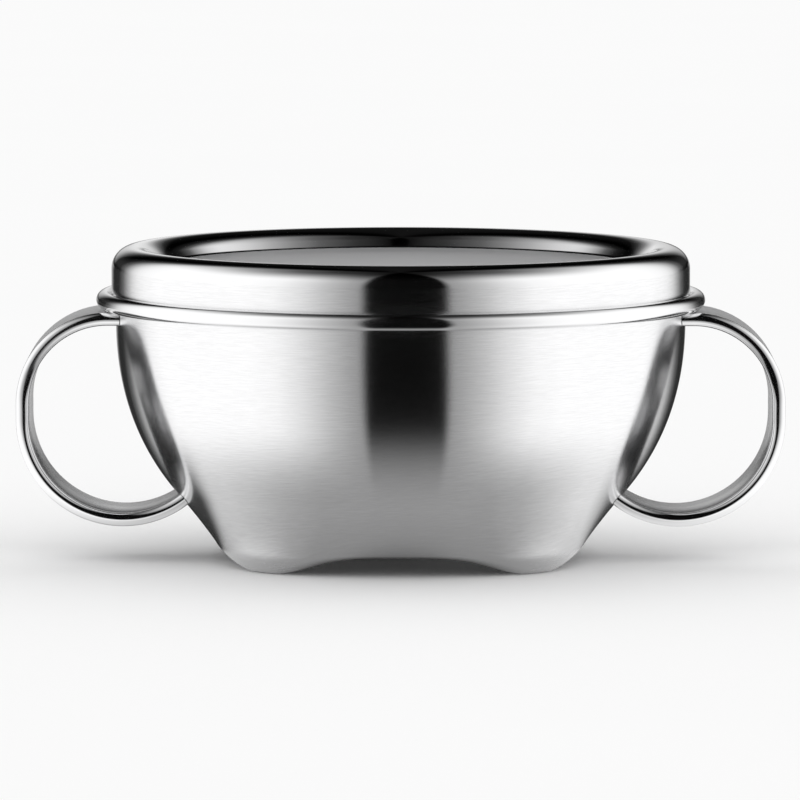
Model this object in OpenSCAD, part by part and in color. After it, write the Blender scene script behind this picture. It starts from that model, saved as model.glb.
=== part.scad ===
// Double-walled steel bowl on four feet, with two ring handles and a lift-off lid.
// Millimetres. The origin is on the ground below the middle of the bowl, +Z is up,
// the handles lie along X and the front faces -Y.

/* [Body] */
// Outer radius of the body at its widest line
body_r = 65.5; // [62:0.5:70]
// Height of the rim ring's middle above the widest line
wide_drop = 4; // [2:0.5:8]
// Depth below the ground at which the round outline would close in a point
outline_sunk = 6.7; // [4:0.1:12]
// Fullness of the round outline, where 2 is an ellipse
outline_power = 2.2; // [2:0.05:2.6]
// Sheet thickness of the outer shell
shell_wall = 0.6; // [0.5:0.1:0.9]
// Height below which the body turns from round to four-sided
foot_top_z = 16; // [14:0.5:20]
// Distance from the axis to the middle of each foot's flat
foot_r = 41; // [40:0.5:43]
// Width of each foot's flat, measured outwards from the axis
foot_flat = 4; // [3:0.5:5]
// Rounding of each foot's outer side
foot_round = 4.6; // [4:0.1:6]
// Height of the arches between the feet
arch_h = 4.4; // [3:0.1:5]
// Rounding of the lower edge of each arch
arch_round = 2; // [1.5:0.1:2.5]
// Height of the hollow under the middle of the bowl
vault_h = 6; // [5.5:0.1:7]
// Radius of the level middle of that hollow
vault_r = 24; // [20:0.5:28]

/* [Rim] */
// Height of the middle of the rolled rim ring
rim_z = 60; // [58.5:0.1:62]
// Radius of the rolled rim ring's own section
rim_tube_r = 2; // [1.6:0.1:2.4]
// How far the rim ring stands out from the body
rim_out = 4.5; // [4:0.1:5]
// Sheet thickness of the rim ring
rim_wall = 0.5; // [0.4:0.1:0.7]
// Height of the web that joins the rim ring to the neck
rim_web_h = 1.6; // [1.2:0.1:2]

/* [Liner] */
// Sheet thickness of the inner liner
liner_wall = 0.6; // [0.5:0.1:0.9]
// Air gap between the shell and the liner
air_gap = 3.6; // [2.5:0.1:5]
// Air gap between the shell's raised middle and the liner's floor
floor_gap = 3.4; // [2.5:0.1:5]
// Radius of the level part of the liner's floor
floor_r = 31; // [26:0.5:33]
// Height above the floor at which the wall begins to turn into it
floor_turn_h = 13; // [10:0.5:16]
// Height of the shoulder where the liner widens into the neck
shoulder_h = 5; // [4:0.1:7]
// Height of the shoulder's top below the middle of the rim ring
shoulder_drop = 4.5; // [3:0.1:6]
// Height of the neck above the middle of the rim ring
neck_h = 7.6; // [6.5:0.1:8.5]
// Thickness of the folded lip on the neck
lip_t = 1.3; // [1.2:0.05:1.6]
// Height of the folded lip on the neck
lip_h = 2.6; // [2:0.1:3.5]

/* [Lid] */
// How far the lid's skirt stands inside the middle of the rim ring
skirt_inset = 1.5; // [1.2:0.1:1.7]
// Height of the lid's crest above the middle of the rim ring
crest_h = 12.2; // [11.5:0.1:14]
// Distance from the skirt inwards to the crest
crest_in = 5; // [4:0.1:6]
// Height of the rounding between the crest and the skirt
crest_round_h = 5; // [4:0.1:6]
// Distance from the crest inwards to the sunk panel
panel_in = 8; // [7:0.1:11]
// Depth of the sunk panel below the crest
panel_drop = 4.3; // [3.5:0.1:5]
// Steepest slope down to the panel, in degrees
panel_slope = 48; // [40:1:60]
// Rounding at the foot of the slope down to the panel
panel_fillet = 1.2; // [0.8:0.1:2.4]
// Sheet thickness of the lid's cover
lid_wall = 0.6; // [0.5:0.1:0.8]
// Sheet thickness of the lid's pan
pan_wall = 0.5; // [0.4:0.1:0.7]
// Air gap between the sunk panel and the pan below it
pan_gap = 5.5; // [5:0.1:8]
// Rounding at the lower edge of the pan
pan_round = 2; // [1:0.1:2.2]

/* [Seal] */
// How far the seal's lips reach out from the pan
seal_reach = 2.2; // [1.6:0.1:2.6]
// Height of the seal
seal_h = 3.2; // [2.8:0.1:3.6]
// Depth of the groove in the pan that holds the seal
groove_d = 0.9; // [0.6:0.1:1]
// Thickness of each lip of the seal
seal_lip_t = 0.7; // [0.5:0.1:0.9]
// Thickness of the seal's ring outside the groove
seal_core_t = 0.6; // [0.4:0.1:0.8]

/* [Handles] */
// How far the handles reach out from the body's widest line
handle_reach = 22.6; // [22:0.1:26]
// Outer radius of the upper bend
upper_bend_r = 21; // [18:0.5:22]
// Outer radius of the lower bend
lower_bend_r = 24.5; // [22:0.5:25]
// Length of the straight between the two bends
handle_straight = 3.6; // [1:0.1:5]
// Width of the handles, measured front to back
handle_w = 25.6; // [20:0.1:28]
// Thickness of the handles
handle_t = 3; // [2.6:0.1:3.6]
// Depth of the rounding at the band's edges
edge_round = 0.9; // [0.5:0.1:1.4]
// Sheet thickness of the handles' outer band
band_wall = 0.6; // [0.5:0.1:0.8]
// Thickness of the strip that closes the inside of the band
strip_t = 0.8; // [0.6:0.1:1]
// Distance from the band's edge to the seam of the strip
strip_margin = 1.7; // [1.7:0.1:2.5]
// Width of the ledge that carries each edge of the strip
ledge_w = 0.8; // [0.5:0.1:1.5]
// Gap between the rim ring and the top of the handles
handle_drop = 0.3; // [0.3:0.1:1.5]

/* [Fits] */
// Gap left at welded and nested seats
seam = 0.1; // [0.08:0.01:0.12]
// Clearance between the lid and the bowl
lid_clear = 0.3; // [0.25:0.01:0.35]

/* [Hidden] */
$fn = 96;

brushed_steel = [0.76, 0.76, 0.77];
polished_steel = [0.86, 0.86, 0.87];
satin_steel = [0.70, 0.70, 0.71];
silicone = [0.90, 0.90, 0.88];

// Facets round the four-sided shell, a multiple of 8 so that each foot has one in its middle.
az_steps = 72;
upper_rings = 11;
flank_rings = 4;
foot_rings = 3;
vault_rings = 4;
curve_steps = 8;
// The shell's rings lie closer together towards the foot, the more so the further this is below 1.
ring_spread = 0.8;
// How sharply the arches rise beside the feet, and how much of the turn each foot's flat takes.
foot_power = 4;
foot_gain = 1.065;

wide_z = rim_z - wide_drop;
outline_depth = wide_z + outline_sunk;
ridge_r = foot_r + foot_flat / 2 + foot_round;
rim_r = body_r + rim_out - rim_tube_r;
shell_top_z = rim_z - rim_web_h / 2 - seam;
neck_r = body_r - shell_wall - seam;
neck_top_z = rim_z + neck_h;
lip_in_r = neck_r - lip_t;
liner_in = shell_wall + air_gap;
liner_floor_z = vault_h + shell_wall + floor_gap;
shoulder_top_z = rim_z - shoulder_drop;

lid_r = rim_r - skirt_inset;
skirt_reach = rim_tube_r + lid_clear;
skirt_z = rim_z + sqrt(skirt_reach * skirt_reach - skirt_inset * skirt_inset);
crest_z = rim_z + crest_h;
crest_r = lid_r - crest_in;
panel_z = crest_z - panel_drop;
panel_r = crest_r - panel_in;
pan_z = panel_z - lid_wall - pan_gap - pan_wall;
pan_r = lip_in_r - lid_clear - seal_reach;
seal_z = neck_top_z - lip_h / 2;

handle_x = body_r + handle_reach;
upper_bend_z = rim_z - rim_tube_r - handle_drop - upper_bend_r;
lower_bend_z = upper_bend_z - handle_straight;
strip_w = handle_w - 2 * strip_margin;
// The lower bend runs on past its lowest point until it is inside the body's outline.
lower_sweep = 150;
// So does the level tail at the top.
tail = handle_reach - upper_bend_r + 2 * handle_t;
sector_steps = 5;

// Radius of the round outline at a height, drawn in by an amount all round.
function outline_r(z, in = 0) =
  let (down = max(wide_z - z, 0) / (outline_depth - in))
  (body_r - in) * sqrt(1 - pow(down, outline_power));

// Growth of that radius for each unit of height.
function outline_slope(z, in = 0) =
  let (deep = outline_depth - in, down = max(wide_z - z, 0) / deep, wide = body_r - in)
  wide * wide * outline_power * pow(down, outline_power - 1) / deep / (2 * outline_r(z, in));

function mix(a, b, t) = a + (b - a) * t;
function ease(t) = t * t * (3 - 2 * t);
function bend(a, b, c, t) = mix(mix(a, b, t), mix(b, c, t), t);
function arc(mid, r, from, to) = [
  for (i = [0 : curve_steps]) let (a = mix(from, to, i / curve_steps)) mid + r * [cos(a), sin(a)]
];

// A path moved sideways, to the inside of one that runs down the outside and in under it.
function along(p, i) =
  let (d = p[min(i + 1, len(p) - 1)] - p[max(i - 1, 0)])
  d / norm(d);
function moved_in(p, by) = [for (i = [0 : len(p) - 1]) let (d = along(p, i)) p[i] + by * [d[1], -d[0]]];
function turned_back(p) = [for (i = [len(p) - 1 : -1 : 0]) p[i]];
function sheet(p, wall) = concat(p, turned_back(moved_in(p, wall)));

// The body's outside, drawn twice as one path from the top to the middle of the underside:
// through the middle of a side, and through the middle of a foot.
upper_path = [
  for (i = [0 : upper_rings - 1])
    let (z = mix(shell_top_z, foot_top_z, pow(i / (upper_rings - 1), ring_spread)))
    [outline_r(z), z]
];
flank_lean = atan(1 / outline_slope(foot_top_z));
flank_end_z = arch_h + arch_round * (1 - cos(flank_lean));
flank_end = [outline_r(foot_top_z) - (foot_top_z - flank_end_z) * outline_slope(foot_top_z), flank_end_z];
arch_mid = flank_end + arch_round * [-sin(flank_lean), cos(flank_lean)];
side_in = [arch_mid[0] - foot_flat, arch_h];
side_path = concat(
  upper_path,
  [for (i = [1 : flank_rings]) mix([outline_r(foot_top_z), foot_top_z], flank_end, i / flank_rings)],
  [for (i = [1 : foot_rings]) let (a = flank_lean * (1 - i / foot_rings))
    arch_mid + arch_round * [sin(a), -cos(a)]],
  [side_in],
  [for (i = [1 : vault_rings]) let (t = i / vault_rings)
    [mix(side_in[0], vault_r, t), mix(side_in[1], vault_h, ease(t))]]
);

ridge_top = [outline_r(foot_top_z), foot_top_z];
ridge_turn = [ridge_r, foot_top_z - (ridge_top[0] - ridge_r) / outline_slope(foot_top_z)];
foot_in = [foot_r - foot_flat / 2, 0];
foot_path = concat(
  upper_path,
  [for (i = [1 : flank_rings]) bend(ridge_top, ridge_turn, [ridge_r, foot_round], i / flank_rings)],
  [for (i = [1 : foot_rings]) let (a = 90 * (1 - i / foot_rings))
    [foot_r + foot_flat / 2, foot_round] + foot_round * [sin(a), -cos(a)]],
  [foot_in],
  [for (i = [1 : vault_rings]) let (t = i / vault_rings)
    [mix(foot_in[0], vault_r, t), mix(foot_in[1], vault_h, ease(t))]]
);

// Share of the way from the middle of a side, 0, to the middle of a foot, 1.
function foot_share(a) = min(foot_gain * pow(abs(sin(2 * a)), foot_power), 1);

// Radius at an angle of a rounded square that reaches side at its sides and corner at its corners.
function square_r(side, corner, a) =
  let (n = 1 / (0.5 - ln(corner / side) / ln(2)))
  side / pow(pow(abs(cos(a)), n) + pow(abs(sin(a)), n), 1 / n);

function ring(side, foot, angles) = [
  for (a = angles)
    let (r = square_r(side[0], foot[0], a))
    [r * cos(a), r * sin(a), mix(side[1], foot[1], foot_share(a))]
];

function sum(v, i = 0) = i < len(v) - 1 ? v[i] + sum(v, i + 1) : v[i];

// A closed solid through loops of points, with a fan over the first loop and the last.
module loft(loops) {
  n = len(loops[0]);
  last = len(loops) - 1;
  points = concat([sum(loops[0]) / n], [for (l = loops) each l], [sum(loops[last]) / n]);
  start = 0;
  end = len(points) - 1;
  faces = concat(
    [for (j = [0 : n - 1]) [start, 1 + (j + 1) % n, 1 + j]],
    [for (i = [0 : last - 1], j = [0 : n - 1])
      let (a = 1 + i * n + j, b = 1 + i * n + (j + 1) % n)
      each [[a, b, b + n], [a, b + n, a + n]]],
    [for (j = [0 : n - 1]) [1 + last * n + j, 1 + last * n + (j + 1) % n, end]]
  );
  polyhedron(points, faces);
}

module outer_shell() {
  angles = [for (i = [0 : az_steps - 1]) 360 * i / az_steps];
  sides = concat(turned_back(moved_in(side_path, shell_wall)), side_path);
  feet = concat(turned_back(moved_in(foot_path, shell_wall)), foot_path);
  color(brushed_steel)
    loft([for (i = [0 : len(sides) - 1]) ring(sides[i], feet[i], angles)]);
}

// The part of the body's outline that a handle meets, as a solid wedge a seam larger than the shell.
module handle_seat() {
  half = 360 / az_steps * sector_steps;
  angles = [for (i = [-sector_steps : sector_steps]) half * i / sector_steps];
  sides = moved_in(side_path, -seam);
  feet = moved_in(foot_path, -seam);
  loft([for (i = [0 : len(sides) - 1]) concat(ring(sides[i], feet[i], angles), [[0, 0, sides[i][1]]])]);
}

module rim_ring() {
  color(polished_steel)
    rotate_extrude()
      union() {
        difference() {
          translate([rim_r, rim_z]) circle(rim_tube_r);
          translate([rim_r, rim_z]) circle(rim_tube_r - rim_wall);
        }
        translate([neck_r + seam, rim_z - rim_web_h / 2])
          square([rim_r - rim_tube_r + rim_wall - neck_r - seam, rim_web_h]);
      }
}

shoulder_z = shoulder_top_z - shoulder_h;
turn_z = liner_floor_z + floor_turn_h;
turn_r = outline_r(turn_z, liner_in);
turn_corner = [turn_r - floor_turn_h * outline_slope(turn_z, liner_in), liner_floor_z];
liner_path = concat(
  [[neck_r, neck_top_z - lip_h]],
  [for (i = [0 : curve_steps]) let (t = i / curve_steps, z = mix(shoulder_top_z, shoulder_z, t))
    [mix(neck_r, outline_r(z, liner_in), ease(t)), z]],
  [for (i = [1 : 2 * curve_steps]) let (z = mix(shoulder_z, turn_z, i / (2 * curve_steps)))
    [outline_r(z, liner_in), z]],
  [for (i = [1 : curve_steps])
    bend([turn_r, turn_z], turn_corner, [floor_r, liner_floor_z], i / curve_steps)],
  [[0, liner_floor_z]]
);

// The neck's sheet is folded over inwards into a lip with a round top.
module inner_liner() {
  outline = concat(
    sheet(liner_path, liner_wall),
    [[lip_in_r, neck_top_z - lip_h]],
    arc([neck_r - lip_t / 2, neck_top_z - lip_t / 2], lip_t / 2, 180, 0)
  );
  color(polished_steel)
    rotate_extrude() polygon(outline);
}

// Sections of the handles: x runs outwards to the outer face at 0 and y runs front to back.
edge_y = handle_w / 2 - edge_round;
seat_y = strip_w / 2 + seam;
seat_x = strip_t + seam - handle_t;
hollow_y = strip_w / 2 - ledge_w;

// The rounding of the band's edge at the side 1 or -1, flatter than a half circle.
function edge_curve(side) = [
  for (i = [0 : curve_steps]) let (a = 90 - 90 * side + 180 * i / curve_steps)
    [handle_t / 2 * (cos(a) - 1), side * edge_y + edge_round * sin(a)]
];

// The outer band, with both edges rounded, a seat for the strip and a hollow behind it.
module band_section() {
  polygon(concat(
    edge_curve(1),
    [[-handle_t, seat_y], [seat_x, seat_y], [seat_x, hollow_y], [-band_wall, hollow_y]],
    [[-band_wall, -hollow_y], [seat_x, -hollow_y], [seat_x, -seat_y], [-handle_t, -seat_y]],
    edge_curve(-1)
  ));
}

module strip_section() {
  translate([-handle_t, -strip_w / 2]) square([strip_t, strip_w]);
}

// A section carried round a bend of the right handle, up from the upright face or down from it.
module bend_run(r, z, by) {
  translate([handle_x - r, 0, z])
    rotate([90, 0, 0])
      rotate_extrude(angle = by)
        translate([r, 0]) children();
}

// A section carried along the right handle: the tail at the top, the upper bend, the straight
// and the lower bend, which both ends carry on into the body's outline.
module handle_run() {
  translate([handle_x - upper_bend_r, 0, upper_bend_z + upper_bend_r])
    rotate([0, -90, 0]) linear_extrude(tail) children();
  bend_run(upper_bend_r, upper_bend_z, 90) children();
  translate([handle_x, 0, lower_bend_z]) linear_extrude(handle_straight) children();
  bend_run(lower_bend_r, lower_bend_z, -lower_sweep) children();
}

module handle_band() {
  color(polished_steel)
    difference() {
      handle_run() band_section();
      handle_seat();
    }
}

module handle_strip() {
  color(satin_steel)
    difference() {
      handle_run() strip_section();
      handle_seat();
    }
}

module right_handle_band() {
  handle_band();
}

module right_handle_strip() {
  handle_strip();
}

module left_handle_band() {
  mirror([1, 0, 0]) handle_band();
}

module left_handle_strip() {
  mirror([1, 0, 0]) handle_strip();
}

// The slope rises from the panel's fillet to a corner level with the crest, which a bend rounds off.
fillet_mid = [panel_r, panel_z + panel_fillet];
slope_h = panel_drop - panel_fillet * (1 - cos(panel_slope));
slope_corner = [panel_r + panel_fillet * sin(panel_slope) + slope_h / tan(panel_slope), crest_z];
bend_reach = min(crest_r - slope_corner[0], slope_h / sin(panel_slope));
slope_bend_end = slope_corner - bend_reach * [cos(panel_slope), sin(panel_slope)];
lid_path = concat(
  [[0, panel_z]],
  arc(fillet_mid, panel_fillet, -90, panel_slope - 90),
  [for (i = [1 : curve_steps])
    bend(slope_bend_end, slope_corner, slope_corner + [bend_reach, 0], i / curve_steps)],
  [for (i = [1 : curve_steps]) let (a = 90 * i / curve_steps)
    [crest_r + crest_in * sin(a), crest_z - crest_round_h * (1 - cos(a))]],
  [[lid_r, skirt_z]]
);

module lid_cover() {
  color(brushed_steel)
    rotate_extrude() polygon(sheet(lid_path, lid_wall));
}

// The pan's wall ends just below the underside of the crest.
crest_share = (pan_r - crest_r) / (crest_in - lid_wall);
under_crest_z = crest_z - crest_round_h
  + (crest_round_h - lid_wall) * sqrt(1 - crest_share * crest_share);
pan_top_z = under_crest_z - seam;
groove_r = pan_r - groove_d;
groove_top_z = seal_z + seal_h / 2 + seam;
groove_foot_z = seal_z - seal_h / 2 - seam;
pan_path = concat(
  [[pan_r, pan_top_z]],
  [[pan_r, groove_top_z + groove_d], [groove_r, groove_top_z]],
  [[groove_r, groove_foot_z], [pan_r, groove_foot_z - groove_d]],
  [for (i = [0 : curve_steps / 2]) let (a = 90 - 180 * i / curve_steps)
    [pan_r - pan_round, pan_z + pan_round] + pan_round * [sin(a), -cos(a)]],
  [[0, pan_z]]
);

module lid_pan() {
  color(satin_steel)
    rotate_extrude() polygon(sheet(pan_path, pan_wall));
}

module lid_seal() {
  in_r = groove_r + seam;
  core_r = pan_r + seal_core_t;
  color(silicone)
    rotate_extrude()
      union() {
        translate([in_r, seal_z - seal_h / 2]) square([core_r - in_r, seal_h]);
        for (side = [-1, 1])
          translate([in_r, seal_z + side * (seal_h - seal_lip_t) / 2 - seal_lip_t / 2])
            square([pan_r + seal_reach - in_r, seal_lip_t]);
      }
}

outer_shell();
rim_ring();
inner_liner();
left_handle_band();
left_handle_strip();
right_handle_band();
right_handle_strip();
lid_cover();
lid_pan();
lid_seal();
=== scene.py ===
"""Looks of a double-walled steel bowl with two ring handles and a lift-off lid.

Sizes are the part's own, in millimetres. Meshes are made in metres, in the same frame.
"""
import math

import bpy
import numpy as np
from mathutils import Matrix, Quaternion, Vector


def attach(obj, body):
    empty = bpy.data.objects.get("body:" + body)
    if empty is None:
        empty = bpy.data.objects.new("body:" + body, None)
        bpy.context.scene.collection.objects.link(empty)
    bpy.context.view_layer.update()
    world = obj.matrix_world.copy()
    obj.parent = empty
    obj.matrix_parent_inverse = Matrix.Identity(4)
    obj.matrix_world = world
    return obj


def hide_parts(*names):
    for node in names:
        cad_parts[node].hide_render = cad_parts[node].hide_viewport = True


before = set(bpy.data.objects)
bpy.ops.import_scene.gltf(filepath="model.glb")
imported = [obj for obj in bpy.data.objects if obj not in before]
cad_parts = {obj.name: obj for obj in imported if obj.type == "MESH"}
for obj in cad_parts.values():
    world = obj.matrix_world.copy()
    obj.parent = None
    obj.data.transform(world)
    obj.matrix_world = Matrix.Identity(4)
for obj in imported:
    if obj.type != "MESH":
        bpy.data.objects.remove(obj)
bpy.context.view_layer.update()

MM = 0.001

# Body
BODY_R, WIDE_Z, OUTLINE_DEPTH, OUTLINE_POWER = 65.5, 56.0, 62.7, 2.2
SHELL_WALL, FOOT_TOP_Z, FOOT_R, FOOT_FLAT, FOOT_ROUND = 0.6, 16.0, 41.0, 4.0, 4.6
ARCH_H, ARCH_ROUND, VAULT_H, VAULT_R = 4.4, 2.0, 6.0, 24.0
FOOT_POWER, FOOT_GAIN, RING_SPREAD = 4, 1.065, 0.8
# Rim
RIM_Z, RIM_TUBE_R, RIM_OUT, RIM_WEB_H = 60.0, 2.0, 4.5, 1.6
# Liner
LINER_WALL, AIR_GAP, FLOOR_GAP, FLOOR_R, FLOOR_TURN_H = 0.6, 3.6, 3.4, 31.0, 13.0
SHOULDER_H, SHOULDER_DROP, NECK_H, LIP_T, LIP_H = 5.0, 4.5, 7.6, 1.3, 2.6
# Lid
SKIRT_INSET, CREST_H, CREST_IN, CREST_ROUND_H = 1.5, 12.2, 5.0, 5.0
PANEL_IN, PANEL_DROP, PANEL_SLOPE, PANEL_FILLET, LID_WALL = 8.0, 4.3, 48.0, 1.2, 0.6
# Height over which the skirt's brushing runs up into the crest's rounding
POLISH_EDGE = 0.4
PAN_WALL, PAN_GAP, PAN_ROUND = 0.5, 5.5, 2.0
# Seal
SEAL_REACH, SEAL_H, GROOVE_D, SEAL_LIP_T, SEAL_CORE_T = 2.2, 3.2, 0.9, 0.7, 0.6
# Handles
HANDLE_REACH, UPPER_BEND_R, LOWER_BEND_R, HANDLE_STRAIGHT = 22.6, 21.0, 24.5, 3.6
HANDLE_W, HANDLE_T, BAND_WALL, STRIP_T, STRIP_MARGIN = 25.6, 3.0, 0.6, 0.8, 1.7
EDGE_ROUND, LEDGE_W, HANDLE_DROP, LOWER_SWEEP, STRIP_EDGE = 0.9, 0.8, 0.3, 150.0, 0.12
# Fits
SEAM, LID_CLEAR = 0.1, 0.3

SHELL_TOP_Z = RIM_Z - RIM_WEB_H / 2 - SEAM
RIDGE_R = FOOT_R + FOOT_FLAT / 2 + FOOT_ROUND
RIM_R = BODY_R + RIM_OUT - RIM_TUBE_R
NECK_R = BODY_R - SHELL_WALL - SEAM
NECK_TOP_Z = RIM_Z + NECK_H
LINER_IN = SHELL_WALL + AIR_GAP
LINER_FLOOR_Z = VAULT_H + SHELL_WALL + FLOOR_GAP
SHOULDER_TOP_Z = RIM_Z - SHOULDER_DROP
LID_R = RIM_R - SKIRT_INSET
SKIRT_Z = RIM_Z + math.sqrt((RIM_TUBE_R + LID_CLEAR) ** 2 - SKIRT_INSET ** 2)
CREST_Z = RIM_Z + CREST_H
CREST_R = LID_R - CREST_IN
PANEL_Z = CREST_Z - PANEL_DROP
PANEL_R = CREST_R - PANEL_IN
PAN_Z = PANEL_Z - LID_WALL - PAN_GAP - PAN_WALL
PAN_R = NECK_R - LIP_T - LID_CLEAR - SEAL_REACH
SEAL_Z = NECK_TOP_Z - LIP_H / 2
HANDLE_X = BODY_R + HANDLE_REACH
UPPER_BEND_Z = RIM_Z - RIM_TUBE_R - HANDLE_DROP - UPPER_BEND_R
LOWER_BEND_Z = UPPER_BEND_Z - HANDLE_STRAIGHT
STRIP_W = HANDLE_W - 2 * STRIP_MARGIN

# Steps of the smooth meshes
AROUND = 288
UPPER_STEPS, FLANK_STEPS, FOOT_STEPS, VAULT_STEPS = 44, 16, 12, 14
TURN_STEPS = 12
HANDLE_STEPS, EDGE_STEPS, STRIP_EDGE_STEPS = 180, 18, 3
SEAT_ANGLES = np.linspace(-24, 24, 49)
SEAT_HALVINGS = 22
POLE_R = 0.4
SHARP_ANGLE = math.radians(38)


def mix(a, b, t):
    return a + (b - a) * t


def ease(t):
    return t * t * (3 - 2 * t)


def bend(a, b, c, t):
    return mix(mix(a, b, t), mix(b, c, t), t)


def arc(mid, r, start, end, steps=TURN_STEPS):
    """Points on a circle from one angle to another, both ends included."""
    a = np.radians(np.linspace(start, end, steps + 1))
    return np.array(mid, float) + r * np.column_stack([np.cos(a), np.sin(a)])


def outline_r(z, inset=0.0):
    down = np.maximum(WIDE_Z - z, 0) / (OUTLINE_DEPTH - inset)
    return (BODY_R - inset) * np.sqrt(1 - down ** OUTLINE_POWER)


def outline_slope(z, inset=0.0):
    deep, wide = OUTLINE_DEPTH - inset, BODY_R - inset
    down = max(WIDE_Z - z, 0) / deep
    return wide * wide * OUTLINE_POWER * down ** (OUTLINE_POWER - 1) / deep / (2 * outline_r(z, inset))


def moved_in(path, by):
    """A path that runs down the outside, moved to the inside of its sheet."""
    path = np.asarray(path, float)
    d = np.empty_like(path)
    d[1:-1] = path[2:] - path[:-2]
    d[0], d[-1] = path[1] - path[0], path[-1] - path[-2]
    d /= np.linalg.norm(d, axis=1)[:, None]
    return path + by * np.column_stack([d[:, 1], -d[:, 0]])


def shell_paths():
    """The shell's outside from its top to the underside, at a side's middle and at a foot's."""
    t = np.arange(UPPER_STEPS) / (UPPER_STEPS - 1)
    z = mix(SHELL_TOP_Z, FOOT_TOP_Z, t ** RING_SPREAD)
    upper = np.column_stack([outline_r(z), z])
    slope = outline_slope(FOOT_TOP_Z)
    top = upper[-1]
    flank_t = (np.arange(1, FLANK_STEPS + 1) / FLANK_STEPS)[:, None]
    foot_t = 1 - np.arange(1, FOOT_STEPS + 1) / FOOT_STEPS
    vault_t = np.arange(1, VAULT_STEPS + 1) / VAULT_STEPS

    lean = math.atan(1 / slope)
    end_z = ARCH_H + ARCH_ROUND * (1 - math.cos(lean))
    end = np.array([top[0] - (FOOT_TOP_Z - end_z) * slope, end_z])
    mid = end + ARCH_ROUND * np.array([-math.sin(lean), math.cos(lean)])
    inner = np.array([mid[0] - FOOT_FLAT, ARCH_H])
    side = np.vstack([
        upper, mix(top, end, flank_t),
        mid + ARCH_ROUND * np.column_stack([np.sin(lean * foot_t), -np.cos(lean * foot_t)]),
        inner, vault(inner, vault_t)])

    turn = np.array([RIDGE_R, FOOT_TOP_Z - (top[0] - RIDGE_R) / slope])
    inner = np.array([FOOT_R - FOOT_FLAT / 2, 0.0])
    a = np.pi / 2 * foot_t
    mid = np.array([FOOT_R + FOOT_FLAT / 2, FOOT_ROUND])
    foot = np.vstack([
        upper, bend(top, turn, np.array([RIDGE_R, FOOT_ROUND]), flank_t),
        mid + FOOT_ROUND * np.column_stack([np.sin(a), -np.cos(a)]),
        inner, vault(inner, vault_t)])
    return side, foot


def vault(start, t):
    return np.column_stack([mix(start[0], VAULT_R, t), mix(start[1], VAULT_H, ease(t))])


def ring(side, foot, a):
    """Points of the four-sided ring that passes through side at 0 degrees and foot at 45."""
    n = 1 / (0.5 - math.log(foot[0] / side[0]) / math.log(2))
    r = side[0] / (np.abs(np.cos(a)) ** n + np.abs(np.sin(a)) ** n) ** (1 / n)
    share = np.minimum(FOOT_GAIN * np.abs(np.sin(2 * a)) ** FOOT_POWER, 1)
    return np.column_stack([r * np.cos(a), r * np.sin(a), mix(side[1], foot[1], share)])


def skin(rows, ends="poles"):
    """Points and faces over equal rings: ends are closed by poles or caps, or joined in a loop."""
    rows = np.asarray(rows, float)
    k, n, _ = rows.shape
    points = [tuple(p) for p in rows.reshape(-1, 3)]
    faces = []
    for i in range(k if ends == "loop" else k - 1):
        a, b = i * n, (i + 1) % k * n
        faces += [(a + j, a + (j + 1) % n, b + (j + 1) % n, b + j) for j in range(n)]
    last = (k - 1) * n
    if ends == "caps":
        faces += [tuple(range(n - 1, -1, -1)), tuple(range(last, last + n))]
    if ends == "poles":
        points += [tuple(rows[0].mean(0)), tuple(rows[-1].mean(0))]
        first, final = k * n, k * n + 1
        faces += [(first, (j + 1) % n, j) for j in range(n)]
        faces += [(last + j, last + (j + 1) % n, final) for j in range(n)]
    return points, faces


def volume(points, faces):
    p = np.array(points)
    total = 0.0
    for f in faces:
        for i in range(1, len(f) - 1):
            total += float(np.dot(p[f[0]], np.cross(p[f[i]], p[f[i + 1]])))
    return total


def piece(name, node, body, points, faces, material):
    """A smooth piece in place of a CAD node."""
    if volume(points, faces) < 0:
        faces = [f[::-1] for f in faces]
    mesh = bpy.data.meshes.new(name)
    mesh.from_pydata([(x * MM, y * MM, z * MM) for x, y, z in points], [], faces)
    mesh.shade_smooth()
    mesh.set_sharp_from_angle(angle=SHARP_ANGLE)
    mesh.materials.append(material)
    obj = bpy.data.objects.new(name, mesh)
    bpy.context.scene.collection.objects.link(obj)
    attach(obj, body)
    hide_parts(node)
    return obj


def lathe(profile, ends="poles"):
    """Points and faces of a profile of radius and height turned round the axis."""
    a = np.linspace(0, 2 * np.pi, AROUND, endpoint=False)
    rows = []
    for r, z in profile:
        rows.append(np.column_stack([r * np.cos(a), r * np.sin(a), np.full(AROUND, z)]))
    return skin(rows, ends)


def off_axis(profile):
    """The same profile with its ends a little off the axis, where the poles close it."""
    profile = np.array(profile, float)
    profile[:, 0] = np.maximum(profile[:, 0], POLE_R)
    return profile


# Materials

# The brushing leans a little, and more so low on the bowl, where it is also hazier, and where painted shade
# darkens the steel's colour to dim its reflections.
BRUSH_TILT, LOW_TILT, LOW_ZONE = 0.01, 0.14, (0.012, 0.045)
FOOT_HAZE, PAINTED_FOOT_SHADE_SHARE, PAINTED_FOOT_SHADE_TONE, FOOT_ZONE = 1.5, 0.4, 0.5, (0.004, 0.016)
# How many short marks lie along one long streak, and what each gives to the relief
MARKS_PER_STREAK, STREAK_SHARE, MARK_SHARE = 8.0, 0.55, 0.45
# What the fine and the broad streaks give to the tone
FINE_SHARE, BROAD_SHARE = 0.85, 0.15
# The parts of a noise's range that are spread over a change of tone or sheen
WIDE, NARROW, UPPER = (0.3, 0.7), (0.35, 0.65), (0.5, 0.75)
# Darkest and lightest tone of the streaks and of the grains
STREAK_TONES, GRAIN_TONES, RUBBER_TONES = (0.94, 1.035), (0.95, 1.04), (0.96, 1.0)
# How far the sheen varies
STREAK_SHEEN, CLOUD_SHEEN, GRAIN_SHEEN, POLISH_SHEEN = 0.015, 0.01, 0.03, (0.7, 1.3)
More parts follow.
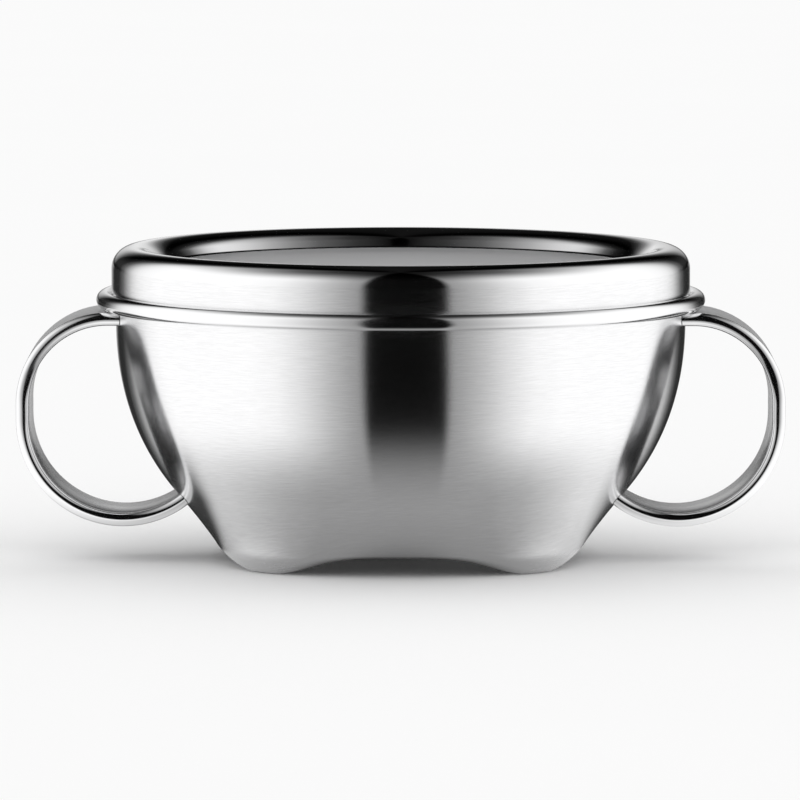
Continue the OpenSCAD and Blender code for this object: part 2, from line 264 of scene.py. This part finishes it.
# Roughness that hairline marks add, and the range of the rubber's
MARK_ROUGH, RUBBER_ROUGH = 0.02, (0.5, 0.62)
# Depth of the surface marks, in metres, and how much of it shows
GROOVE_DEPTH, GRAIN_DEPTH = 0.0001, 0.00005
SCRATCH, GRAIN_RELIEF, RUBBER_RELIEF = 0.02, 0.08, 0.15
# A quarter turn lays the stretched highlight across the brushing.
ACROSS_THE_BRUSHING = 0.25
# The colour sockets of a Mix node, whose names it uses more than once
MIX_FIRST, MIX_SECOND, MIX_RESULT = 6, 7, 2


class Graph:
    """Short calls for a node tree."""

    def __init__(self, tree):
        self.tree = tree

    def add(self, kind, inputs=None, **settings):
        node = self.tree.nodes.new(kind)
        for key, value in settings.items():
            setattr(node, key, value)
        for key, value in (inputs or {}).items():
            self.put(node.inputs[key], value)
        return node

    def put(self, socket, value):
        if isinstance(value, bpy.types.NodeSocket):
            self.tree.links.new(value, socket)
        else:
            socket.default_value = value

    def math(self, operation, *values):
        node = self.add("ShaderNodeMath", operation=operation)
        for socket, value in zip(node.inputs, values):
            self.put(socket, value)
        return node.outputs[0]

    def length(self, x, y):
        return self.math("SQRT", self.math("ADD", self.math("MULTIPLY", x, x), self.math("MULTIPLY", y, y)))

    def ramp(self, value, stops):
        node = self.add("ShaderNodeValToRGB", {"Fac": value})
        elements = node.color_ramp.elements
        while len(elements) < len(stops):
            elements.new(0.5)
        for element, (at, level) in zip(elements, stops):
            element.position = at
            element.color = (level, level, level, 1)
        return node.outputs["Color"]

    def span(self, value, low, high, to_low, to_high, **settings):
        node = self.add("ShaderNodeMapRange", {
            "Value": value, "From Min": low, "From Max": high,
            "To Min": to_low, "To Max": to_high}, **settings)
        return node.outputs["Result"]

    def blend(self, share, first, second):
        node = self.add("ShaderNodeMix", {"Factor": share}, data_type="RGBA")
        self.put(node.inputs[MIX_FIRST], first)
        self.put(node.inputs[MIX_SECOND], second)
        return node.outputs[MIX_RESULT]

    def noise(self, vector, scale, detail=2.0, roughness=0.5):
        node = self.add("ShaderNodeTexNoise", {
            "Vector": vector, "Scale": scale, "Detail": detail, "Roughness": roughness})
        return node.outputs["Fac"]

    def relief(self, height, strength, depth):
        node = self.add("ShaderNodeBump", {"Height": height, "Strength": strength, "Distance": depth})
        return node.outputs[0]

    def place(self):
        return self.add("ShaderNodeTexCoord").outputs["Object"]

    def surface(self, kind, inputs):
        shader = self.add(kind, inputs)
        self.add("ShaderNodeOutputMaterial", {"Surface": shader.outputs[0]})


def shaded(colour, by):
    return (*[min(c * by, 1.0) for c in colour], 1)


def new_material(name):
    material = bpy.data.materials.new(name)
    material.use_nodes = True
    material.node_tree.nodes.clear()
    return material, Graph(material.node_tree)


def brush_vector(g, fall, around, across):
    """Coordinates for lines that run round the axis; fall is how the lines' order follows the radius."""
    place = g.place()
    xyz = g.add("ShaderNodeSeparateXYZ", {"Vector": place})
    x, y, z = xyz.outputs
    r = g.length(x, y)
    safe_r = g.math("MAXIMUM", r, POLE_R * MM)
    order = g.math("ADD", z, g.math("MULTIPLY", r, fall))
    tilt = g.span(z, *LOW_ZONE, -LOW_TILT, -BRUSH_TILT)
    order = g.math("ADD", order, g.math("MULTIPLY", x, tilt))
    joined = g.add("ShaderNodeCombineXYZ", {
        "X": g.math("MULTIPLY", g.math("DIVIDE", x, safe_r), around),
        "Y": g.math("MULTIPLY", g.math("DIVIDE", y, safe_r), around),
        "Z": g.math("MULTIPLY", order, across)})
    return joined.outputs[0], place, z


def brushed(name, colour, roughness, anisotropy, fall, bump=0.08, across=4200.0, around=14.0):
    """Steel brushed round the axis, with fine streaks and a few faint marks, and painted shade darkening its
    colour towards the bottom.
    """
    material, g = new_material(name)
    lines, place, height = brush_vector(g, fall, around, across)
    streak = g.noise(lines, scale=1.0, detail=3.0, roughness=0.65)
    broad = g.noise(lines, scale=0.3)
    cloud = g.noise(place, scale=42.0)
    shade = g.math("ADD", g.math("MULTIPLY", streak, FINE_SHARE), g.math("MULTIPLY", broad, BROAD_SHARE))
    tint = g.blend(g.span(shade, *NARROW, 0.0, 1.0), *(shaded(colour, tone) for tone in STREAK_TONES))
    # Painted shade: towards the bottom the colour darkens, which dims the reflections and highlights low on
    # the bowl.
    tint = g.blend(g.span(height, *FOOT_ZONE, PAINTED_FOOT_SHADE_SHARE, 0.0), tint, shaded(colour, PAINTED_FOOT_SHADE_TONE))
    rough = g.math("ADD", g.span(shade, *WIDE, roughness - STREAK_SHEEN, roughness + STREAK_SHEEN),
                   g.span(cloud, *WIDE, -CLOUD_SHEEN, CLOUD_SHEEN))
    rough = g.math("MULTIPLY", rough, g.span(height, *FOOT_ZONE, FOOT_HAZE, 1.0))
    short_lines = brush_vector(g, fall, MARKS_PER_STREAK * around, across)[0]
    marks = g.noise(short_lines, scale=1.0, detail=2.0, roughness=0.6)
    grooves = g.math("ADD", g.math("MULTIPLY", streak, STREAK_SHARE), g.math("MULTIPLY", marks, MARK_SHARE))
    tangent = g.add("ShaderNodeTangent", direction_type="RADIAL", axis="Z")
    g.surface("ShaderNodeBsdfPrincipled", {
        "Base Color": tint, "Metallic": 1.0, "Roughness": rough,
        "Anisotropic": anisotropy, "Anisotropic Rotation": ACROSS_THE_BRUSHING,
        "Tangent": tangent.outputs[0], "Normal": g.relief(grooves, bump, GROOVE_DEPTH)})
    return material


def polished(name, colour, roughness):
    """Polished steel with hairline marks and a trace of handling."""
    material, g = new_material(name)
    place = g.place()
    marks = g.noise(place, scale=900.0, detail=4.0, roughness=0.6)
    cloud = g.noise(place, scale=60.0, detail=3.0)
    rough = g.math("ADD", g.span(cloud, *NARROW, *(roughness * by for by in POLISH_SHEEN)),
                   g.span(marks, *UPPER, 0.0, MARK_ROUGH))
    g.surface("ShaderNodeBsdfPrincipled", {
        "Base Color": (*colour, 1), "Metallic": 1.0, "Roughness": rough,
        "Normal": g.relief(marks, SCRATCH, GRAIN_DEPTH)})
    return material


def satin(name, colour, roughness, metallic=1.0):
    """Fine-blasted steel: an even grain and slow changes of sheen."""
    material, g = new_material(name)
    place = g.place()
    grain = g.noise(place, scale=5200.0, roughness=0.6)
    cloud = g.noise(place, scale=35.0, detail=3.0)
    tint = g.blend(g.span(grain, *NARROW, 0.0, 1.0), *(shaded(colour, tone) for tone in GRAIN_TONES))
    rough = g.span(cloud, *WIDE, roughness - GRAIN_SHEEN, roughness + GRAIN_SHEEN)
    g.surface("ShaderNodeBsdfPrincipled", {
        "Base Color": tint, "Metallic": metallic, "Roughness": rough,
        "Normal": g.relief(grain, GRAIN_RELIEF, GRAIN_DEPTH)})
    return material


def rubber(name, colour):
    """Soft silicone with a fine matt skin."""
    material, g = new_material(name)
    place = g.place()
    grain = g.noise(place, scale=2200.0, detail=3.0, roughness=0.6)
    cloud = g.noise(place, scale=60.0)
    g.surface("ShaderNodeBsdfPrincipled", {
        "Base Color": g.blend(cloud, *(shaded(colour, tone) for tone in RUBBER_TONES)),
        "Roughness": g.span(grain, *WIDE, *RUBBER_ROUGH),
        "Normal": g.relief(grain, RUBBER_RELIEF, GRAIN_DEPTH)})
    return material


STEEL = (0.80, 0.80, 0.805)
body_steel = brushed("body_steel", STEEL, roughness=0.17, anisotropy=0.95, fall=1.0)
skirt_steel = brushed("skirt_steel", STEEL, roughness=0.17, anisotropy=1.0, fall=-1.0)
liner_steel = brushed("liner_steel", STEEL, roughness=0.22, anisotropy=0.9, fall=1.0)
rim_steel = polished("rim_steel", STEEL, roughness=0.09)
crest_steel = polished("crest_steel", STEEL, roughness=0.07)
edge_steel = polished("edge_steel", STEEL, roughness=0.08)
panel_steel = satin("panel_steel", (0.80, 0.80, 0.81), roughness=0.38, metallic=0.72)
strip_steel = satin("strip_steel", (0.74, 0.74, 0.745), roughness=0.25, metallic=0.94)
face_steel = satin("face_steel", STEEL, roughness=0.36, metallic=0.68)
pan_steel = satin("pan_steel", (0.72, 0.72, 0.73), roughness=0.34)
seal_rubber = rubber("seal_rubber", (0.86, 0.86, 0.84))


# Pieces

def make_shell():
    side, foot = shell_paths()
    sides = np.vstack([moved_in(side, SHELL_WALL)[::-1], side])
    feet = np.vstack([moved_in(foot, SHELL_WALL)[::-1], foot])
    a = np.linspace(0, 2 * np.pi, AROUND, endpoint=False)
    points, faces = skin([ring(s, f, a) for s, f in zip(sides, feet)])
    return piece("shell_body", "outer_shell", "bowl", points, faces, body_steel)


def make_rim():
    web = math.degrees(math.asin(RIM_WEB_H / 2 / RIM_TUBE_R))
    tube = arc((RIM_R, RIM_Z), RIM_TUBE_R, 180 - web, web - 180, 4 * TURN_STEPS)
    inner = NECK_R + SEAM
    profile = np.vstack([tube, [inner, RIM_Z - RIM_WEB_H / 2], [inner, RIM_Z + RIM_WEB_H / 2]])
    points, faces = lathe(profile, "loop")
    return piece("rim_roll", "rim_ring", "bowl", points, faces, rim_steel)


def liner_outline():
    t = np.linspace(0, 1, 2 * TURN_STEPS + 1)
    shoulder_z = SHOULDER_TOP_Z - SHOULDER_H
    turn_z = LINER_FLOOR_Z + FLOOR_TURN_H
    turn_r = outline_r(turn_z, LINER_IN)
    corner = np.array([turn_r - FLOOR_TURN_H * outline_slope(turn_z, LINER_IN), LINER_FLOOR_Z])
    z = mix(SHOULDER_TOP_Z, shoulder_z, t)
    shoulder = np.column_stack([mix(NECK_R, outline_r(z, LINER_IN), ease(t)), z])
    z = np.linspace(shoulder_z, turn_z, 4 * TURN_STEPS + 1)[1:]
    wall = np.column_stack([outline_r(z, LINER_IN), z])
    turn = bend(np.array([turn_r, turn_z]), corner, np.array([FLOOR_R, LINER_FLOOR_Z]), t[1:, None])
    path = np.vstack([[NECK_R, NECK_TOP_Z - LIP_H], shoulder, wall, turn, [0, LINER_FLOOR_Z]])
    lip = arc((NECK_R - LIP_T / 2, NECK_TOP_Z - LIP_T / 2), LIP_T / 2, 180, 0)
    inside = moved_in(path, LINER_WALL)[::-1]
    return np.vstack([inside, [NECK_R - LIP_T, NECK_TOP_Z - LIP_H], lip, path])


def make_liner():
    points, faces = lathe(off_axis(liner_outline()))
    return piece("inner_bowl", "inner_liner", "bowl", points, faces, liner_steel)


def lid_path():
    """The lid's outside from the axis over the panel, the slope and the crest to the skirt's edge."""
    fillet = arc((PANEL_R, PANEL_Z + PANEL_FILLET), PANEL_FILLET, -90, PANEL_SLOPE - 90)
    lean = math.radians(PANEL_SLOPE)
    slope_h = CREST_Z - fillet[-1][1]
    corner = np.array([fillet[-1][0] + slope_h / math.tan(lean), CREST_Z])
    reach = min(CREST_R - corner[0], slope_h / math.sin(lean))
    low, high = corner - reach * np.array([math.cos(lean), math.sin(lean)]), corner + [reach, 0]
    t = np.linspace(0, 1, 2 * TURN_STEPS + 1)
    slope = bend(low, corner, high, t[:, None])
    a = np.radians(90 * t[1:])
    turn = np.column_stack([CREST_R + CREST_IN * np.sin(a), CREST_Z - CREST_ROUND_H * (1 - np.cos(a))])
    return np.vstack([[0, PANEL_Z], fillet, slope, turn, [LID_R, SKIRT_Z]])


def make_lid():
    path = lid_path()
    points, faces = lathe(off_axis(np.vstack([path, moved_in(path, LID_WALL)[::-1]])))
    lid = piece("lid_top", "lid_cover", "lid", points, faces, skirt_steel)
    crest, panel = 1, 2
    lid.data.materials.append(crest_steel)
    lid.data.materials.append(panel_steel)
    skirt_top = (CREST_Z - CREST_ROUND_H + POLISH_EDGE) * MM
    for face in lid.data.polygons:
        x, y, z = face.center
        r = math.hypot(x, y) / MM
        if r < PANEL_R:
            face.material_index = panel
        elif z > skirt_top or r < CREST_R:
            face.material_index = crest
    return lid


def make_pan():
    crest_share = (PAN_R - CREST_R) / (CREST_IN - LID_WALL)
    top_z = CREST_Z - CREST_ROUND_H + (CREST_ROUND_H - LID_WALL) * math.sqrt(1 - crest_share ** 2) - SEAM
    groove_r = PAN_R - GROOVE_D
    groove_top, groove_foot = SEAL_Z + SEAL_H / 2 + SEAM, SEAL_Z - SEAL_H / 2 - SEAM
    turn = arc((PAN_R - PAN_ROUND, PAN_Z + PAN_ROUND), PAN_ROUND, 0, -90)
    path = np.vstack([
        [PAN_R, top_z], [PAN_R, groove_top + GROOVE_D], [groove_r, groove_top],
        [groove_r, groove_foot], [PAN_R, groove_foot - GROOVE_D], turn, [0, PAN_Z]])
    points, faces = lathe(off_axis(np.vstack([moved_in(path, PAN_WALL)[::-1], path])))
    return piece("lid_inner_pan", "lid_pan", "lid", points, faces, pan_steel)


def make_seal():
    inner, core = PAN_R - GROOVE_D + SEAM, PAN_R + SEAL_CORE_T
    outer, half, lip = PAN_R + SEAL_REACH, SEAL_H / 2, SEAL_LIP_T
    tip = lip / 2
    profile = np.vstack([
        [inner, -half], arc((outer - tip, -half + tip), tip, -90, 90, 6), [core, -half + lip],
        [core, half - lip], arc((outer - tip, half - tip), tip, -90, 90, 6), [inner, half]])
    profile[:, 1] += SEAL_Z
    points, faces = lathe(profile, "loop")
    return piece("lid_gasket", "lid_seal", "lid", points, faces, seal_rubber)


# Handles

def handle_point(u, s):
    """Place across the handle's ring at offset u from its outer face and way s along that face."""
    tail = HANDLE_REACH - UPPER_BEND_R + 2 * HANDLE_T
    upper = UPPER_BEND_R * math.pi / 2
    if s < tail:
        return HANDLE_X - UPPER_BEND_R - tail + s, UPPER_BEND_Z + UPPER_BEND_R + u
    s -= tail
    if s < upper:
        a = math.pi / 2 - s / UPPER_BEND_R
        r = UPPER_BEND_R + u
        return HANDLE_X - UPPER_BEND_R + r * math.cos(a), UPPER_BEND_Z + r * math.sin(a)
    s -= upper
    if s < HANDLE_STRAIGHT:
        return HANDLE_X + u, UPPER_BEND_Z - s
    a = -(s - HANDLE_STRAIGHT) / LOWER_BEND_R
    r = LOWER_BEND_R + u
    return HANDLE_X - LOWER_BEND_R + r * math.cos(a), LOWER_BEND_Z + r * math.sin(a)


HANDLE_LENGTH = (HANDLE_REACH - UPPER_BEND_R + 2 * HANDLE_T + UPPER_BEND_R * math.pi / 2
                 + HANDLE_STRAIGHT + LOWER_BEND_R * math.radians(LOWER_SWEEP))


def shell_table():
    """The shell's heights and radii from the underside up, at even angles about the handle."""
    side, foot = shell_paths()
    a = np.radians(SEAT_ANGLES)
    rings = np.array([ring(s, f, a) for s, f in zip(side, foot)])[::-1]
    return rings[:, :, 2], np.hypot(rings[:, :, 0], rings[:, :, 1])


def shell_r(table, z, a):
    """The shell's radius at a height and an angle in degrees."""
    heights, radii = table
    at = np.interp(a, SEAT_ANGLES, np.arange(len(SEAT_ANGLES)))
    i = min(int(at), len(SEAT_ANGLES) - 2)
    low, high = (np.interp(z, heights[:, k], radii[:, k]) for k in (i, i + 1))
    return mix(low, high, at - i)


def end_of_run(table, u, y, inside, outside):
    """Way along the handle at which a line of its section comes out of the body."""
    for _ in range(SEAT_HALVINGS):
        s = (inside + outside) / 2
        x, z = handle_point(u, s)
        if math.hypot(x, y) < shell_r(table, z, math.degrees(math.atan2(y, x))) + SEAM:
            inside = s
        else:
            outside = s
    return outside


def sweep(table, section):
    """A section carried along the right handle, from the body round to the body."""
    middle = HANDLE_LENGTH / 2
    runs = [(end_of_run(table, u, y, 0.0, middle), end_of_run(table, u, y, HANDLE_LENGTH, middle))
            for u, y in section]
    rows = []
    for t in np.linspace(0, 1, HANDLE_STEPS + 1):
        row = []
        for (u, y), (start, end) in zip(section, runs):
            x, z = handle_point(u, mix(start, end, t))
            row.append((x, y, z))
        rows.append(row)
    return skin(rows, "caps")


def edge_curve(side):
    """The rounding of the band's edge, flatter than a half circle."""
    a = np.radians(np.linspace(90 - 90 * side, 270 - 90 * side, EDGE_STEPS + 1))
    edge_y = HANDLE_W / 2 - EDGE_ROUND
    return np.column_stack([HANDLE_T / 2 * (np.cos(a) - 1), side * edge_y + EDGE_ROUND * np.sin(a)])


def band_section():
    """The band: x outwards to the outer face at 0, both edges round, with a seat for the strip."""
    seat_y = STRIP_W / 2 + SEAM
    seat_x = STRIP_T + SEAM - HANDLE_T
    hollow_y = STRIP_W / 2 - LEDGE_W
    return np.vstack([
        edge_curve(1),
        [[-HANDLE_T, seat_y], [seat_x, seat_y], [seat_x, hollow_y], [-BAND_WALL, hollow_y]],
        [[-BAND_WALL, -hollow_y], [seat_x, -hollow_y], [seat_x, -seat_y], [-HANDLE_T, -seat_y]],
        edge_curve(-1)])


def strip_section():
    """The strip, with its edges broken."""
    low, high, half, edge = -HANDLE_T, STRIP_T - HANDLE_T, STRIP_W / 2, STRIP_EDGE
    x, y = (low + edge, high - edge), half - edge
    return np.vstack([
        arc((x[1], y), edge, 0, 90, STRIP_EDGE_STEPS), arc((x[0], y), edge, 90, 180, STRIP_EDGE_STEPS),
        arc((x[0], -y), edge, 180, 270, STRIP_EDGE_STEPS), arc((x[1], -y), edge, 270, 360, STRIP_EDGE_STEPS)])


def make_handles():
    table = shell_table()
    for part, section, material, slot in (
            ("band", band_section(), edge_steel, "polished_steel"),
            ("strip", strip_section(), strip_steel, "satin_steel")):
        points, faces = sweep(table, section)
        for side, sign in (("right", 1), ("left", -1)):
            turned = [(sign * x, y, z) for x, y, z in points]
            made = piece(f"{side}_{part}", f"{side}_handle_{part}", "bowl", turned, faces, material)
            if part == "band":
                finish_outside(made, len(section))


def finish_outside(band, around):
    """The band's outer face, the last face of each step, is satin between its polished edges."""
    band.data.materials.append(face_steel)
    for face in list(band.data.polygons)[around - 1:HANDLE_STEPS * around:around]:
        face.material_index = 1


# Stage

FLOOR_SIZE = 12.0
PAPER, PAPER_TONES = (0.965, 0.965, 0.965), (0.99, 1.0)
DOME_R, DOME_AROUND, DOME_RINGS, DOME_END = 4.0, 96, 45, 88
# How far the studio is turned about the axis, in degrees
GAP_TURN = 1.9
SOFTBOX_LEVEL = 1.3
# Half a turn in degrees, and where a colour ramp of heights has the horizon
HALF_TURN, HORIZON = 180, 0.5


def only_glossy(obj):
    obj.visible_camera = False
    obj.visible_diffuse = False
    obj.visible_transmission = False
    obj.visible_volume_scatter = False
    obj.visible_shadow = False


def stage_mesh(name, points, faces, material):
    mesh = bpy.data.meshes.new(name)
    mesh.from_pydata(points, [], faces)
    mesh.materials.append(material)
    obj = bpy.data.objects.new(name, mesh)
    bpy.context.scene.collection.objects.link(obj)
    return obj


def make_floor():
    material, g = new_material("floor_paper")
    grain = g.noise(g.place(), scale=6.0)
    tint = g.blend(grain, *(shaded(PAPER, tone) for tone in PAPER_TONES))
    g.surface("ShaderNodeBsdfDiffuse", {"Color": tint})
    s = FLOOR_SIZE
    return stage_mesh("floor", [(-s, -s, 0), (s, -s, 0), (s, s, 0), (-s, s, 0)], [(0, 1, 2, 3)], material)


def turn_from_front(g, x, y):
    """Angle round the axis from the front, as a share of half a turn."""
    turn = g.math("ABSOLUTE", g.math("ARCTAN2", x, g.math("MULTIPLY", y, -1.0)))
    return g.math("DIVIDE", turn, math.pi)


def levels(stops):
    """Stops of light by angle, as a colour ramp's: half a turn and the softboxes' level are 1."""
    return [(angle / HALF_TURN, level / SOFTBOX_LEVEL) for angle, level in stops]


def shares(stops, start=0.0):
    """Stops of a share by angle, as a colour ramp's; start is where the ramp has its angle 0."""
    return [(start + angle / HALF_TURN, share) for angle, share in stops]


# What stands round the object: a dark gap in front, and softboxes at both sides.
IN_FRONT = [(0, 0.004), (15.2, 0.004), (18.2, 0.38), (22, 0.44), (31, 0.64), (41, 0.92), (52, 1.16),
            (64, 1.25), (180, 1.26)]
# Dark flags behind the softboxes, and a pale wall at the back: share of the light by angle.
AT_THE_BACK = [(0, 1.0), (115, 1.0), (124, 0.94), (130, 0.84), (135, 0.66), (140, 0.36), (145, 0.12),
               (151, 0.025), (162, 0.02), (171, 0.4), (180, 0.68)]
TABLE_BEHIND = AT_THE_BACK[:-2] + [(168, 0.3), (180, 0.5)]
# What the table shows close by, at the left and at the right, where it is lighter.
TABLE_LEFT = [(0, 0.36), (28, 0.37), (40, 0.44), (56, 0.6), (68, 0.69), (78, 0.69), (82, 0.58), (87, 0.28),
              (91, 0.08), (95, 0.03), (120, 0.03), (152, 0.03), (166, 0.25), (180, 0.35)]
TABLE_RIGHT = [(0, 0.36), (28, 0.37), (40, 0.46), (56, 0.7), (68, 0.86), (80, 0.88), (92, 0.56), (100, 0.26),
               (108, 0.08), (120, 0.03), (152, 0.03), (166, 0.25), (180, 0.35)]
# Share of the light by height above the horizon, in degrees: in front and at the sides, and behind.
# BEHIND is where the first gives way to the second, in degrees from the front.
UP_IN_FRONT = [(-90, 1.0), (35, 1.0), (41, 0.9), (50, 0.62), (57, 0.38), (63, 0.22), (69, 0.1), (77, 0.03),
               (85, 0.01), (90, 0.01)]
UP_BEHIND = [(-90, 0.05), (1, 0.05), (4.5, 1.0), (9, 1.0), (12, 0.7), (15, 0.35), (19, 0.08), (23, 0.01),
             (90, 0.01)]
BEHIND = (142, 158)
# How far in front of the axis the table's dark strip and its dark sides run together, in metres.
GAP_APEX, FLAG_APEX = 0.024, 0.058
# Where the near table gives way to the far one, and where the bowl shades it, in metres from the axis.
NEAR_TO_FAR = (0.056, 0.108)
UNDER_THE_BOWL, SHADE_UNDER_THE_BOWL = (0.039, 0.046), 0.15
CARD_Z = 0.0001


def emitter(name):
    material, g = new_material(name)
    material.cycles.emission_sampling = "NONE"
    xyz = g.add("ShaderNodeSeparateXYZ", {"Vector": g.place()})
    return material, g, xyz.outputs


def make_dome():
    """The studio round the object, seen in reflections only."""
    material, g, (x, y, z) = emitter("studio_dome")
    turn = turn_from_front(g, x, y)
    height = g.math("DIVIDE", g.math("ARCSINE", g.math("DIVIDE", z, DOME_R)), math.pi)
    height = g.math("ADD", height, HORIZON)
    level = g.math("MULTIPLY", g.ramp(turn, levels(IN_FRONT)), g.ramp(turn, shares(AT_THE_BACK)))
    front, back = (g.ramp(height, shares(stops, HORIZON)) for stops in (UP_IN_FRONT, UP_BEHIND))
    fade = g.blend(g.span(turn, *(angle / HALF_TURN for angle in BEHIND), 0.0, 1.0), front, back)
    strength = g.math("MULTIPLY", g.math("MULTIPLY", level, fade), SOFTBOX_LEVEL)
    g.surface("ShaderNodeEmission", {"Strength": strength})
    rows = []
    a = np.linspace(0, 2 * np.pi, DOME_AROUND, endpoint=False)
    for e in np.radians(np.linspace(-DOME_END, DOME_END, DOME_RINGS)):
        r = DOME_R * math.cos(e)
        rows.append(np.column_stack([r * np.cos(a), r * np.sin(a), np.full(len(a), DOME_R * math.sin(e))]))
    points, faces = skin(rows)
    dome = stage_mesh("studio_dome", points, faces, material)
    dome.data.shade_smooth()
    dome.rotation_euler.z = math.radians(GAP_TURN)
    only_glossy(dome)


def make_table_card():
    """The table as the reflections see it: the gap's dark strip lies on it and ends before the bowl."""
    material, g, (x, y, z) = emitter("table_card")
    front = g.ramp(turn_from_front(g, x, g.math("ADD", y, GAP_APEX)), levels(IN_FRONT))
    behind = g.ramp(turn_from_front(g, x, g.math("ADD", y, FLAG_APEX)), shares(TABLE_BEHIND))
    far = g.math("MULTIPLY", front, behind)
    turn = turn_from_front(g, x, y)
    right, left = (g.ramp(turn, levels(stops)) for stops in (TABLE_RIGHT, TABLE_LEFT))
    near = g.blend(g.math("LESS_THAN", x, 0.0), right, left)
    reach = g.length(x, y)
    share = g.span(reach, *NEAR_TO_FAR, 0.0, 1.0, interpolation_type="SMOOTHSTEP")
    shade = g.span(reach, *UNDER_THE_BOWL, SHADE_UNDER_THE_BOWL, 1.0)
    g.surface("ShaderNodeEmission", {
        "Color": g.blend(share, near, far), "Strength": g.math("MULTIPLY", shade, SOFTBOX_LEVEL)})
    r = DOME_R
    corners = [(-r, -r, CARD_Z), (r, -r, CARD_Z), (r, r, CARD_Z), (-r, r, CARD_Z)]
    card = stage_mesh("table_card", corners, [(0, 1, 2, 3)], material)
    card.rotation_euler.z = math.radians(GAP_TURN)
    only_glossy(card)


def make_world():
    """An even white light, which the diffuse surfaces and the floor see."""
    world = bpy.data.worlds.new("studio")
    world.use_nodes = True
    background = world.node_tree.nodes["Background"]
    background.inputs["Color"].default_value = (1, 1, 1, 1)
    background.inputs["Strength"].default_value = 1.0
    world.cycles.sampling_method = "NONE"
    bpy.context.scene.world = world


# Camera: places in metres, angles in radians, lens and sensor in millimetres
CAMERA_AIM = Vector((-0.00016, 0.0, 0.0366))
CAMERA_AWAY, CAMERA_FAR_END = 1.9576, 50.0
CAMERA_RISE, CAMERA_ROLL = math.radians(5.2), 0.0007
CAMERA_LENS, CAMERA_SENSOR = 382.5, 36.0


def make_camera():
    data = bpy.data.cameras.new("camera")
    data.lens = CAMERA_LENS
    data.sensor_width = CAMERA_SENSOR
    data.clip_end = CAMERA_FAR_END
    camera = bpy.data.objects.new("camera", data)
    bpy.context.scene.collection.objects.link(camera)
    back = Vector((0, -math.cos(CAMERA_RISE), math.sin(CAMERA_RISE)))
    camera.location = CAMERA_AIM + back * CAMERA_AWAY
    turn = (-back).to_track_quat("-Z", "Y") @ Quaternion((0, 0, 1), CAMERA_ROLL)
    camera.rotation_mode = "QUATERNION"
    camera.rotation_quaternion = turn
    bpy.context.scene.camera = camera


make_shell()
make_rim()
make_liner()
make_lid()
make_pan()
make_seal()
make_handles()
make_floor()
make_dome()
make_table_card()
make_world()
make_camera()
bpy.context.scene.view_settings.view_transform = "Standard"
